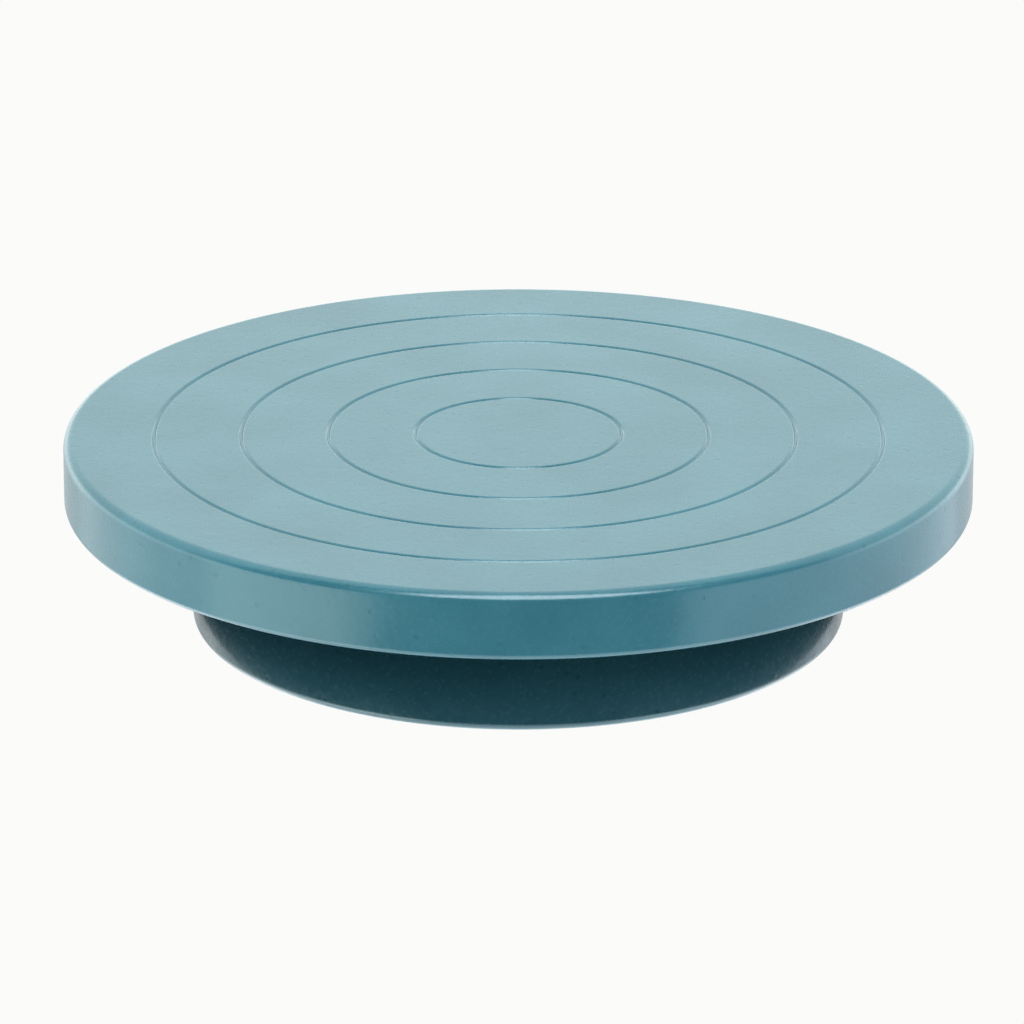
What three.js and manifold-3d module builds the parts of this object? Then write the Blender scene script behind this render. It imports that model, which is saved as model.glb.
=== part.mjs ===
// Table-top banding wheel (a hand-turned pottery wheel): a round cast head on a smaller cast base.
// Millimetres, +Z up, z = 0 on the surface it stands on, the turning axis along Z through the origin.
//
// How it goes together: the spindle's flange is screwed up into the head. The spindle hangs in a sealed
// deep-groove ball bearing, which sits in the base's hub against a shoulder, held by a plate and three
// screws. A washer and a circlip under the inner ring keep the spindle, and with it the head, in place.

import * as THREE from 'three';
import { mergeVertices } from 'three/addons/utils/BufferGeometryUtils.js';
import Module from 'manifold-3d';

const wasm = await Module();
wasm.setup();

// ---------------------------------------------------------------- driving dimensions

const QUARTER_TURN = Math.PI / 2;
const FULL_TURN = 2 * Math.PI;
const SLACK = 0.05; // a light push fit between turned pieces
const OVERCUT = 1; // how far a cutter or a joined rib runs past the face that it meets

const HEAD = {
  radius: 112.5, top: 48, rimHeight: 16.7, rimWall: 5.5, draft: 1, web: 5, lowEdge: 1.6, topEdge: 2.4,
  bossRadius: 26, ribs: 8, ribThickness: 4, ribBottomAtBoss: 34.8, ribBottomAtRim: 36.5,
};
const GROOVES = { first: 25.5, pitch: 21.55, count: 4, width: 1.2, depth: 0.5 };
const BASE = {
  radius: 81, bottom: 0.75, top: 29, wall: 5.5, draft: 1, web: 5, edge: 2,
  hubRadius: 31, shoulderRadius: 18, ribs: 4, ribThickness: 4, ribBottom: 12,
};
const FOOT = { radius: 6.4, height: 2.75, orbit: 66, bossRadius: 8.5, roundEdge: 0.4, gap: 0.1 };

const BEARING = { bore: 17, outside: 40, width: 12, bottom: 14, corner: 0.6 };
const BALLS = { count: 8, radius: 3.375, orbit: 14.25 };
const RACE = { radius: 3.5, gapInner: 0.1, gapOuter: 0.15, innerLand: 12.25, outerLand: 16.25 };
const SEAL = { inner: 12.6, outer: 17.3, thickness: 1, seat: 17.4, seatDepth: 1.2, inset: 0.1 };
const CAGE = { inner: 12.7, outer: 15.8, below: 4.3, above: 1.6, pocketGap: 0.15 };

const SPINDLE = {
  bottom: 9.5, chamfer: 0.8, shoulderRadius: 11.5, flangeRadius: 23.5, flangeBottom: 29.8,
  flangeThickness: 4.5, spigotRadius: 12, spigotHeight: 3, spigotGap: 0.05,
};
const WASHER = { inner: 8.65, outer: 12.9, bottom: 13.05 };
const CIRCLIP = {
  bottom: 12, thickness: 1, grooveRadius: 8.1, grooveBottom: 11.9, outer: 10.4,
  opening: THREE.MathUtils.degToRad(50), lugRadius: 1.7, lugOrbit: 10.6, lugHole: 0.9,
};
const PLATE = { inner: 17.8, outer: 30, thickness: 2 };
const FLANGE_SCREW = {
  count: 4, orbit: 17, shank: 2.45, headRadius: 4.6, headHeight: 2.15, length: 12, socket: 1.73,
  socketDepth: 1.8, clearance: 0.3, threadGap: 0.15, pilotEnd: 43,
};
const PLATE_SCREW = {
  count: 3, orbit: 25.5, shank: 1.95, headRadius: 3.8, headHeight: 2.2, length: 10, socket: 1.44,
  socketDepth: 1.3, clearance: 0.25, threadGap: 0.1, pilotEnd: 24,
};

// Facets round each kind of piece. Multiples of four keep the outline the same along X and along Y.
const FACETS = { head: 64, base: 48, ring: 32, small: 16, ball: 12, hex: 6 };
const STEPS = { edge: 3, race: 6 };

// Places worked out from the sizes above.
const bearingTop = BEARING.bottom + BEARING.width;
const bearingMiddle = BEARING.bottom + BEARING.width / 2;
const headBottom = HEAD.top - HEAD.rimHeight;
const headWebBottom = HEAD.top - HEAD.web;
const baseWebBottom = BASE.top - BASE.web;
const flangeTop = SPINDLE.flangeBottom + SPINDLE.flangeThickness;
const spigotTop = flangeTop + SPINDLE.spigotHeight;
const plateBottom = BEARING.bottom - PLATE.thickness;
const footTurn = Math.PI / BASE.ribs;

// ---------------------------------------------------------------- shapes and solids

// Turns a closed (radius, height) outline about Z. It runs outwards along the underside and up the outside.
function turned(outline, facets) {
  const points = outline.map(([radius, height]) => new THREE.Vector2(radius, height));
  return new THREE.LatheGeometry(points, facets).rotateX(QUARTER_TURN);
}

// The outline of a ring: the same, closed on itself.
function turnedRing(outline, facets) {
  return turned([...outline, outline[0]], facets);
}

// Points of an arc in (radius, height), from one angle to the other, in degrees.
function arc(centreRadius, centreHeight, radius, from, to, steps) {
  return Array.from({ length: steps + 1 }, (_, i) => {
    const angle = THREE.MathUtils.degToRad(from + ((to - from) * i) / steps);
    return [centreRadius + radius * Math.cos(angle), centreHeight + radius * Math.sin(angle)];
  });
}

// A plate of the shape's outline, lying flat, from one height upwards.
function flatPlate(shape, bottom, thickness) {
  const settings = { depth: thickness, bevelEnabled: false };
  return new THREE.ExtrudeGeometry(shape, settings).translate(0, 0, bottom);
}

// A plate of the outline in (radius, height), standing on a radius and centred on it.
function standingPlate(outline, thickness) {
  const shape = new THREE.Shape(outline.map(([radius, height]) => new THREE.Vector2(radius, height)));
  const plate = new THREE.ExtrudeGeometry(shape, { depth: thickness, bevelEnabled: false });
  return plate.rotateX(QUARTER_TURN).translate(0, thickness / 2, 0);
}

// Copies of a shape, spread evenly round the turning axis.
function around(count, geometry, firstTurn = 0) {
  return Array.from({ length: count }, (_, i) => {
    return geometry.clone().rotateZ(firstTurn + (i * FULL_TURN) / count);
  });
}

function toSolid(geometry) {
  const bare = geometry.clone();
  bare.deleteAttribute('normal');
  bare.deleteAttribute('uv');
  const merged = mergeVertices(bare);
  const vertProperties = new Float32Array(merged.attributes.position.array);
  const triVerts = new Uint32Array(merged.index.array);
  return new wasm.Manifold(new wasm.Mesh({ numProp: 3, vertProperties, triVerts }));
}

function toGeometry(solid) {
  const mesh = solid.getMesh();
  const geometry = new THREE.BufferGeometry();
  geometry.setAttribute('position', new THREE.BufferAttribute(mesh.vertProperties, 3));
  geometry.setIndex(new THREE.BufferAttribute(mesh.triVerts, 1));
  geometry.computeVertexNormals();
  return geometry;
}

// The body with the additions joined on and the cutters then taken away.
function machined(body, additions, cutters) {
  const joined = additions.reduce((solid, piece) => solid.add(toSolid(piece)), toSolid(body));
  return toGeometry(cutters.reduce((solid, cutter) => solid.subtract(toSolid(cutter)), joined));
}

// ---------------------------------------------------------------- materials

function hammeredEnamel() {
  return new THREE.MeshStandardMaterial({ color: '#6c9ba1', roughness: 0.35, metalness: 0.4 });
}

function machinedSteel() {
  return new THREE.MeshStandardMaterial({ color: '#a3a5a6', roughness: 0.35, metalness: 0.9 });
}

function bearingSteel() {
  return new THREE.MeshStandardMaterial({ color: '#c3c6c8', roughness: 0.18, metalness: 1 });
}

function zincPlatedSteel() {
  return new THREE.MeshStandardMaterial({ color: '#b5b8bb', roughness: 0.3, metalness: 0.9 });
}

function springSteel() {
  return new THREE.MeshStandardMaterial({ color: '#34363a', roughness: 0.4, metalness: 0.8 });
}

function blackRubber() {
  return new THREE.MeshStandardMaterial({ color: '#1f2123', roughness: 0.85, metalness: 0 });
}

function cageNylon() {
  return new THREE.MeshStandardMaterial({ color: '#d8d2bf', roughness: 0.55, metalness: 0 });
}

// ---------------------------------------------------------------- the turning head

// Shallow V grooves in the top face, from the outermost inwards, for centring work by eye.
function headGrooves() {
  const radii = Array.from({ length: GROOVES.count }, (_, i) => GROOVES.first + i * GROOVES.pitch);
  return radii.reverse().flatMap((radius) => [
    [radius + GROOVES.width / 2, HEAD.top],
    [radius, HEAD.top - GROOVES.depth],
    [radius - GROOVES.width / 2, HEAD.top],
  ]);
}

// An open-bottomed casting: a flat web, a vertical rim with rounded edges and a boss for the spindle.
function headOutline() {
  const { radius, top, lowEdge, topEdge } = HEAD;
  const rimInner = radius - HEAD.rimWall;
  const boreRadius = SPINDLE.spigotRadius + SPINDLE.spigotGap;
  const boreTop = spigotTop + SPINDLE.spigotGap;
  return [
    [0, boreTop], [boreRadius, boreTop], [boreRadius, flangeTop],
    [HEAD.bossRadius, flangeTop], [HEAD.bossRadius, headWebBottom],
    [rimInner - HEAD.draft, headWebBottom], [rimInner, headBottom],
    ...arc(radius - lowEdge, headBottom + lowEdge, lowEdge, -90, 0, STEPS.edge),
    ...arc(radius - topEdge, top - topEdge, topEdge, 0, 90, STEPS.edge),
    ...headGrooves(),
    [0, top],
  ];
}

function wheelHead() {
  const ribStart = HEAD.bossRadius - OVERCUT;
  const ribEnd = HEAD.radius - HEAD.rimWall / 2;
  const ribTop = headWebBottom + OVERCUT;
  const rib = standingPlate([
    [ribStart, HEAD.ribBottomAtBoss], [ribEnd, HEAD.ribBottomAtRim], [ribEnd, ribTop], [ribStart, ribTop],
  ], HEAD.ribThickness);
  const ribs = around(HEAD.ribs, rib, Math.PI / HEAD.ribs);
  const holes = screwHoles(FLANGE_SCREW, flangeTop - OVERCUT);
  return machined(turned(headOutline(), FACETS.head), ribs, holes);
}

// ---------------------------------------------------------------- the base

// A round plate with a skirt, and a hub underneath that is bored to a shoulder for the bearing.
function baseOutline() {
  const { radius, bottom, top, edge } = BASE;
  const skirtInner = radius - BASE.wall;
  const seatRadius = BEARING.outside / 2;
  return [
    [seatRadius, BEARING.bottom], [BASE.hubRadius, BEARING.bottom], [BASE.hubRadius, baseWebBottom],
    [skirtInner - BASE.draft, baseWebBottom], [skirtInner, bottom],
    ...arc(radius - edge, bottom + edge, edge, -90, 0, STEPS.edge),
    ...arc(radius - edge, top - edge, edge, 0, 90, STEPS.edge),
    [BASE.shoulderRadius, top], [BASE.shoulderRadius, bearingTop], [seatRadius, bearingTop],
  ];
}

function baseCasting() {
  const ribStart = BASE.hubRadius - OVERCUT;
  const ribEnd = BASE.radius - BASE.wall / 2;
  const ribTop = baseWebBottom + OVERCUT;
  const rib = standingPlate([
    [ribStart, BEARING.bottom + OVERCUT], [ribEnd, BASE.ribBottom], [ribEnd, ribTop], [ribStart, ribTop],
  ], BASE.ribThickness);
  const footBoss = turned([
    [0, BASE.bottom], [FOOT.bossRadius, BASE.bottom], [FOOT.bossRadius, ribTop], [0, ribTop],
  ], FACETS.small).translate(FOOT.orbit, 0, 0);
  const pocketRadius = FOOT.radius + FOOT.gap;
  const pocket = turned([
    [0, BASE.bottom - OVERCUT], [pocketRadius, BASE.bottom - OVERCUT],
    [pocketRadius, FOOT.height], [0, FOOT.height],
  ], FACETS.small).translate(FOOT.orbit, 0, 0);
  const additions = [...around(BASE.ribs, rib, footTurn), ...around(BASE.ribs, footBoss, footTurn)];
  const holes = screwHoles(PLATE_SCREW, BEARING.bottom - OVERCUT);
  const cutters = [...around(BASE.ribs, pocket, footTurn), ...holes];
  return machined(turnedRing(baseOutline(), FACETS.base), additions, cutters);
}

function rubberFoot() {
  const { radius, height, roundEdge } = FOOT;
  return turned([
    [0, 0], [radius - roundEdge, 0], [radius, roundEdge], [radius, height], [0, height],
  ], FACETS.small).translate(FOOT.orbit, 0, 0);
}

// ---------------------------------------------------------------- the ball bearing

// The raceway's half angle, where its arc meets the ring's land.
function raceHalfAngle(landToCentre) {
  return THREE.MathUtils.radToDeg(Math.acos(landToCentre / RACE.radius));
}

function outerRing() {
  const seat = BEARING.outside / 2 - SLACK;
  const { corner, bottom } = BEARING;
  const centre = BALLS.orbit + BALLS.radius + RACE.gapOuter - RACE.radius;
  const half = raceHalfAngle(RACE.outerLand - centre);
  return turnedRing([
    [SEAL.seat, bottom], [seat - corner, bottom], [seat, bottom + corner],
    [seat, bearingTop - corner], [seat - corner, bearingTop], [SEAL.seat, bearingTop],
    [SEAL.seat, bearingTop - SEAL.seatDepth], [RACE.outerLand, bearingTop - SEAL.seatDepth],
    ...arc(centre, bearingMiddle, RACE.radius, half, -half, STEPS.race),
    [RACE.outerLand, bottom + SEAL.seatDepth], [SEAL.seat, bottom + SEAL.seatDepth],
  ], FACETS.ring);
}

function innerRing() {
  const bore = BEARING.bore / 2;
  const centre = BALLS.orbit - BALLS.radius - RACE.gapInner + RACE.radius;
  const half = raceHalfAngle(centre - RACE.innerLand);
  return turnedRing([
    [bore, BEARING.bottom], [RACE.innerLand, BEARING.bottom],
    ...arc(centre, bearingMiddle, RACE.radius, 180 + half, 180 - half, STEPS.race),
    [RACE.innerLand, bearingTop], [bore, bearingTop],
  ], FACETS.ring);
}

function bearingBall() {
  const ball = new THREE.SphereGeometry(BALLS.radius, FACETS.ball, FACETS.ball / 2 + 2);
  return ball.rotateX(QUARTER_TURN).translate(BALLS.orbit, 0, bearingMiddle);
}

// A moulded crown cage: a ring with pockets that hold the balls from one side.
function bearingCage() {
  const bottom = bearingMiddle - CAGE.below;
  const top = bearingMiddle + CAGE.above;
  const ring = turnedRing([
    [CAGE.inner, bottom], [CAGE.outer, bottom], [CAGE.outer, top], [CAGE.inner, top],
  ], FACETS.ring);
  const pocket = new THREE.SphereGeometry(BALLS.radius + CAGE.pocketGap, FACETS.ball, FACETS.ball / 2 + 2);
  pocket.rotateX(QUARTER_TURN).translate(BALLS.orbit, 0, bearingMiddle);
  return machined(ring, [], around(BALLS.count, pocket));
}

function bearingSeal(bottom) {
  const top = bottom + SEAL.thickness;
  return turnedRing([
    [SEAL.inner, bottom], [SEAL.outer, bottom], [SEAL.outer, top], [SEAL.inner, top],
  ], FACETS.ring);
}

// ---------------------------------------------------------------- the spindle and what holds it

function spindle() {
  const journal = BEARING.bore / 2 - SLACK;
  const { bottom, chamfer, shoulderRadius, flangeRadius, flangeBottom, spigotRadius } = SPINDLE;
  const body = turned([
    [0, bottom], [journal - chamfer, bottom], [journal, bottom + chamfer],
    [journal, CIRCLIP.grooveBottom], [CIRCLIP.grooveRadius, CIRCLIP.grooveBottom],
    [CIRCLIP.grooveRadius, WASHER.bottom], [journal, WASHER.bottom], [journal, bearingTop],
    [shoulderRadius, bearingTop], [shoulderRadius, flangeBottom],
    [flangeRadius, flangeBottom], [flangeRadius, flangeTop],
    [spigotRadius, flangeTop], [spigotRadius, spigotTop], [0, spigotTop],
  ], FACETS.ring);
  return machined(body, [], countersinks());
}

// Countersunk clearance holes through the flange, opening downwards.
function countersinks() {
  const { clearance, shank, headRadius, headHeight, orbit, count } = FLANGE_SCREW;
  const low = SPINDLE.flangeBottom;
  const hole = turned([
    [0, low - OVERCUT], [headRadius + clearance, low - OVERCUT], [headRadius + clearance, low],
    [shank + clearance, low + headHeight], [shank + clearance, flangeTop + OVERCUT],
    [0, flangeTop + OVERCUT],
  ], FACETS.small);
  return around(count, hole.translate(orbit, 0, 0), Math.PI / count);
}

// Blind tapped holes for a ring of screws, from one height up to the end of the pilot hole.
function screwHoles(screw, bottom) {
  const radius = screw.shank + screw.threadGap;
  const hole = turned([
    [0, bottom], [radius, bottom], [radius, screw.pilotEnd], [0, screw.pilotEnd],
  ], FACETS.small);
  return around(screw.count, hole.translate(screw.orbit, 0, 0), Math.PI / screw.count);
}

// The hexagon recess of a socket screw, opening downwards from the head's face.
function hexSocket(screw, bottom) {
  const low = bottom - OVERCUT;
  const top = bottom + screw.socketDepth;
  return turned([[0, low], [screw.socket, low], [screw.socket, top], [0, top]], FACETS.hex);
}

function flangeScrew() {
  const { shank, headRadius, headHeight, length, orbit } = FLANGE_SCREW;
  const low = SPINDLE.flangeBottom;
  const body = turned([
    [0, low], [headRadius, low], [shank, low + headHeight], [shank, low + length], [0, low + length],
  ], FACETS.small);
  return machined(body, [], [hexSocket(FLANGE_SCREW, low)]).translate(orbit, 0, 0);
}

function plateScrew() {
  const { shank, headRadius, headHeight, length, orbit } = PLATE_SCREW;
  const seat = plateBottom;
  const low = seat - headHeight;
  const crown = headRadius * 0.7;
  const body = turned([
    [0, low], [crown, low], [headRadius, seat - headHeight / 3], [headRadius, seat],
    [shank, seat], [shank, seat + length], [0, seat + length],
  ], FACETS.small);
  return machined(body, [], [hexSocket(PLATE_SCREW, low)]).translate(orbit, 0, 0);
}

function retainingPlate() {
  const { inner, outer } = PLATE;
  const ring = turnedRing([
    [inner, plateBottom], [outer, plateBottom], [outer, BEARING.bottom], [inner, BEARING.bottom],
  ], FACETS.ring);
  const radius = PLATE_SCREW.shank + PLATE_SCREW.clearance;
  const low = plateBottom - OVERCUT;
  const high = BEARING.bottom + OVERCUT;
  const hole = turned([[0, low], [radius, low], [radius, high], [0, high]], FACETS.small);
  const firstTurn = Math.PI / PLATE_SCREW.count;
  return machined(ring, [], around(PLATE_SCREW.count, hole.translate(PLATE_SCREW.orbit, 0, 0), firstTurn));
}

function spindleWasher() {
  const { inner, outer, bottom } = WASHER;
  return turnedRing([
    [inner, bottom], [outer, bottom], [outer, BEARING.bottom], [inner, BEARING.bottom],
  ], FACETS.ring);
}

// An external retaining ring: a C of spring steel with a holed lug at each side of its opening.
function spindleCirclip() {
  const { bottom, thickness, grooveRadius, outer, opening, lugRadius, lugOrbit, lugHole } = CIRCLIP;
  const inner = grooveRadius + SLACK;
  const top = bottom + thickness;
  const low = bottom - OVERCUT;
  const high = top + OVERCUT;
  const half = opening / 2;
  const reach = outer + OVERCUT;
  const ring = turnedRing([[inner, bottom], [outer, bottom], [outer, top], [inner, top]], FACETS.ring);
  const mouth = new THREE.Shape([
    new THREE.Vector2(0, 0),
    new THREE.Vector2(reach, -reach * Math.tan(half)),
    new THREE.Vector2(reach, reach * Math.tan(half)),
  ]);
  const lug = turned([[0, bottom], [lugRadius, bottom], [lugRadius, top], [0, top]], FACETS.ball);
  const hole = turned([[0, low], [lugHole, low], [lugHole, high], [0, high]], FACETS.ball);
  const lugTurn = half + lugRadius / lugOrbit;
  const pair = (geometry) => [lugTurn, -lugTurn].map((angle) => {
    return geometry.clone().translate(lugOrbit, 0, 0).rotateZ(angle);
  });
  const opened = machined(ring, [], [flatPlate(mouth, low, high - low)]);
  return machined(opened, pair(lug), pair(hole));
}

// ---------------------------------------------------------------- the assembly

const wheel = new THREE.Group();

function addPiece(parent, name, geometry, material) {
  const mesh = new THREE.Mesh(geometry, material);
  mesh.name = name;
  parent.add(mesh);
}

// A ring of like pieces, numbered from 1, each turned to its own place.
function addRing(parent, name, count, geometry, material, firstTurn) {
  around(count, geometry, firstTurn).forEach((copy, i) => {
    addPiece(parent, `${name}_${i + 1}`, copy, material);
  });
}

function addBaseAssembly(parent) {
  addPiece(parent, 'base', baseCasting(), hammeredEnamel());
  addRing(parent, 'rubber_foot', BASE.ribs, rubberFoot(), blackRubber(), footTurn);
  addPiece(parent, 'retaining_plate', retainingPlate(), zincPlatedSteel());
  const firstTurn = Math.PI / PLATE_SCREW.count;
  addRing(parent, 'plate_screw', PLATE_SCREW.count, plateScrew(), zincPlatedSteel(), firstTurn);
}

function addBearing(parent) {
  addPiece(parent, 'bearing_outer_ring', outerRing(), bearingSteel());
  addPiece(parent, 'bearing_inner_ring', innerRing(), bearingSteel());
  addPiece(parent, 'bearing_cage', bearingCage(), cageNylon());
  addRing(parent, 'bearing_ball', BALLS.count, bearingBall(), bearingSteel(), 0);
  const upper = bearingSeal(bearingTop - SEAL.inset - SEAL.thickness);
  addPiece(parent, 'bearing_seal_upper', upper, blackRubber());
  addPiece(parent, 'bearing_seal_lower', bearingSeal(BEARING.bottom + SEAL.inset), blackRubber());
}

function addHeadAssembly(parent) {
  addPiece(parent, 'wheel_head', wheelHead(), hammeredEnamel());
  addPiece(parent, 'spindle', spindle(), machinedSteel());
  const firstTurn = Math.PI / FLANGE_SCREW.count;
  addRing(parent, 'flange_screw', FLANGE_SCREW.count, flangeScrew(), zincPlatedSteel(), firstTurn);
  addPiece(parent, 'spindle_washer', spindleWasher(), zincPlatedSteel());
  addPiece(parent, 'spindle_circlip', spindleCirclip(), springSteel());
}

addBaseAssembly(wheel);
addBearing(wheel);
addHeadAssembly(wheel);

export default wheel;
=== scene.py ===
"""A pottery banding wheel: the finished look of a hand-turned, enamelled cast-iron turntable.

Builds the smooth castings, the turned steel parts, the sealed bearing and the studio round them, in
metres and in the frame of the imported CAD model. Run it as a script; every step is also an operator with
its own button in the sidebar, and reads its sizes and colours from the scene's settings.
"""

import math
from collections import namedtuple

import bpy
from mathutils import Matrix, Quaternion, Vector


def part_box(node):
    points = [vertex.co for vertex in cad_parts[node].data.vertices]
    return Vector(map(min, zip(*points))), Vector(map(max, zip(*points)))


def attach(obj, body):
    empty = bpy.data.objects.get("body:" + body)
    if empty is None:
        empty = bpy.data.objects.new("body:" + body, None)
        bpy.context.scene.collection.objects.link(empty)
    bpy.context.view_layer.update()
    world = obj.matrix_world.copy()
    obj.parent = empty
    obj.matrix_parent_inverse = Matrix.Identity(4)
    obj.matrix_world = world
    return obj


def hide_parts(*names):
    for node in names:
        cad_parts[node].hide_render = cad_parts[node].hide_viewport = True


bl_info = {
    "name": "Pottery Banding Wheel",
    "version": (1, 0, 0),
    "blender": (4, 5, 0),
    "location": "View3D > Sidebar > Banding Wheel",
    "description": "Builds a cast banding wheel with a sealed bearing, its enamel and steel, and a studio",
    "category": "Object",
}

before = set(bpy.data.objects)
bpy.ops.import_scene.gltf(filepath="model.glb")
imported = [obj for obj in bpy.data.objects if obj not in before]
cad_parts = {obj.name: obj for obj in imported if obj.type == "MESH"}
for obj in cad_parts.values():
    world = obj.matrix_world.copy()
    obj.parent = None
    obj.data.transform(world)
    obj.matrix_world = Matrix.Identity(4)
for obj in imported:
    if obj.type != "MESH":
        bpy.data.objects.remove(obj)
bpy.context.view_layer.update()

MM = 0.001
FULL_TURN = 2 * math.pi
MERGE_DISTANCE = 1e-6  # points closer than a thousandth of a millimetre are one
WAVES_PER_SCALE = 20 / FULL_TURN  # ridges in each metre of a wave texture whose scale is 1
BALL_COUNT = sum(1 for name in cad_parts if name.startswith("bearing_ball_"))
FOOT_NODES = sorted(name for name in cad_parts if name.startswith("rubber_foot_"))
PLATE_SCREW_NODES = sorted(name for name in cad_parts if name.startswith("plate_screw_"))
FLANGE_SCREW_NODES = sorted(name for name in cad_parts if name.startswith("flange_screw_"))


# ------------------------------------------------------------------ reading the frame

def outer_radius(node):
    """Half the width of a round node that is centred on the turning axis."""
    low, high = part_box(node)
    return (high.x - low.x) / 2


def bottom_of(node):
    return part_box(node)[0].z


def top_of(node):
    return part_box(node)[1].z


def centre_of(node):
    low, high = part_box(node)
    return (Vector(low) + Vector(high)) / 2


def place_round_axis(node):
    """The distance from the turning axis and the angle about it of a node's middle."""
    centre = centre_of(node)
    return math.hypot(centre.x, centre.y), math.atan2(centre.y, centre.x)


# ------------------------------------------------------------------ settings

def length_setting(name, description, default, least):
    """A length in metres, shown with enough digits for a small part."""
    return bpy.props.FloatProperty(name=name, description=description, default=default, min=least,
                                   unit="LENGTH", precision=5)


def colour_setting(name, description, default):
    """An sRGB colour as a hex value."""
    return bpy.props.StringProperty(name=name, description=description, default=default)


def light_setting(name, description, default):
    """The brightness of a light, nought or more."""
    return bpy.props.FloatProperty(name=name, description=description, default=default, min=0)


class HeadSizes(bpy.types.PropertyGroup):
    """The turning head's details that a maker would choose."""

    first_groove: length_setting(
        "First groove", "Radius of the innermost centring groove", 25.5 * MM, 5 * MM)
    groove_pitch: length_setting("Groove pitch", "Distance from one groove to the next", 21.55 * MM, 4 * MM)
    groove_count: bpy.props.IntProperty(
        name="Grooves", description="Number of centring grooves", default=4, min=0, max=8)
    groove_width: length_setting(
        "Groove width", "Width of a groove across its enamelled lips", 1.5 * MM, 0.4 * MM)
    groove_depth: length_setting("Groove depth", "Depth of a groove under its enamel", 0.5 * MM, 0.1 * MM)
    low_edge: length_setting("Lower edge", "Rounding of the rim's lower edge", 1.6 * MM, 0.2 * MM)
    top_edge: length_setting("Upper edge", "Rounding of the rim's upper edge", 2.4 * MM, 0.2 * MM)
    wall: length_setting("Wall", "Thickness of the rim's wall", 5.5 * MM, 2 * MM)
    web: length_setting("Web", "Thickness of the round plate", 5 * MM, 2 * MM)
    boss_radius: length_setting(
        "Boss radius", "Radius of the boss that takes the spindle's flange", 26 * MM, 15 * MM)
    ribs: bpy.props.IntProperty(
        name="Ribs", description="Number of stiffening ribs underneath", default=8, min=0, max=16)
    rib_thickness: length_setting("Rib thickness", "Thickness of a rib at half its height", 4 * MM, 2 * MM)


class BaseSizes(bpy.types.PropertyGroup):
    """The base's details that a maker would choose."""

    edge: length_setting("Edge radius", "Rounding of the skirt's upper and lower edges", 2 * MM, 0.2 * MM)
    wall: length_setting("Wall", "Thickness of the skirt", 5.5 * MM, 2 * MM)
    web: length_setting("Web", "Thickness of the top plate", 5 * MM, 2 * MM)
    hub_radius: length_setting("Hub radius", "Radius of the bearing's hub", 31 * MM, 24 * MM)
    shoulder_radius: length_setting(
        "Shoulder radius", "Radius of the opening over the bearing", 18 * MM, 12 * MM)
    rib_thickness: length_setting("Rib thickness", "Thickness of a rib at half its height", 4 * MM, 2 * MM)
    foot_boss_radius: length_setting(
        "Foot boss radius", "Radius of the post that holds a rubber foot", 8.5 * MM, 5 * MM)


class FinishColours(bpy.types.PropertyGroup):
    """The colours of the paint, the metals and the rubber, as sRGB hex values."""

    # the darker enamel tone, which also fills each dent as painted shade
    enamel: colour_setting("Enamel", "The hammered enamel's own colour", "#2C6878")
    enamel_light: colour_setting(
        "Enamel highlight", "The enamel where it lies thicker and paler", "#387484")
    turned_steel: colour_setting("Turned steel", "The spindle's bare steel", "#A9A8A5")
    ground_steel: colour_setting("Ground steel", "The bearing's rings and balls", "#C6C8C9")
    zinc: colour_setting("Zinc plate", "The plated screws, plate and washer", "#B9BDC2")
    spring_steel: colour_setting("Spring steel", "The phosphated circlip", "#2E2F31")
    rubber: colour_setting("Rubber", "The feet and the bearing's seals", "#1C1D1E")
    nylon: colour_setting("Nylon", "The moulded ball cage", "#D9D1BB")


class StudioSettings(bpy.types.PropertyGroup):
    """The light, the floor, the card of painted shade and the camera."""

    floor: colour_setting("Floor", "Colour of the floor and of the wall behind it", "#FBFBFA")
    # painted shade: the colour of the hidden card that stands in for the head's shadow round the base
    flag: colour_setting("Flag", "Colour of the card round the base", "#101010")
    back_light: light_setting("Back light", "Brightness of the wide panel behind", 1.15)
    side_light: light_setting("Side light", "Brightness of the low panels, twofold at the flanks", 0.56)
    left_light: light_setting("Left light", "Extra brightness at the near left", 0.9)
    top_light: light_setting("Top light", "Brightness of the softbox above the front edge", 6.2)
    table_light: light_setting("Table light", "Brightness of the white table under the wheel", 1.6)
    room_light: light_setting("Room light", "Brightness of the dim room all round", 0.12)
    camera_distance: bpy.props.FloatProperty(
        name="Camera distance", description="From the head's middle to the camera",
        default=1.928, min=0.5, unit="LENGTH")
    camera_elevation: bpy.props.FloatProperty(
        name="Camera elevation", description="Height of the view above the horizon",
        default=math.radians(19.77), subtype="ANGLE")
    camera_lens: bpy.props.FloatProperty(
        name="Lens", description="Focal length in millimetres on a 36 mm sensor", default=274.0,
        min=20)


class BandingWheelSettings(bpy.types.PropertyGroup):
    """All the settings of the banding wheel."""

    head: bpy.props.PointerProperty(type=HeadSizes)
    base: bpy.props.PointerProperty(type=BaseSizes)
    colours: bpy.props.PointerProperty(type=FinishColours)
    studio: bpy.props.PointerProperty(type=StudioSettings)


def settings():
    return bpy.context.scene.banding_wheel


# ------------------------------------------------------------------ colours and nodes

def linear(hex_colour):
    """An sRGB hex colour as linear red, green, blue and a full alpha."""
    channels = [int(hex_colour[i:i + 2], 16) / 255 for i in (1, 3, 5)]
    return [c / 12.92 if c <= 0.04045 else ((c + 0.055) / 1.055) ** 2.4 for c in channels] + [1.0]


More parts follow.
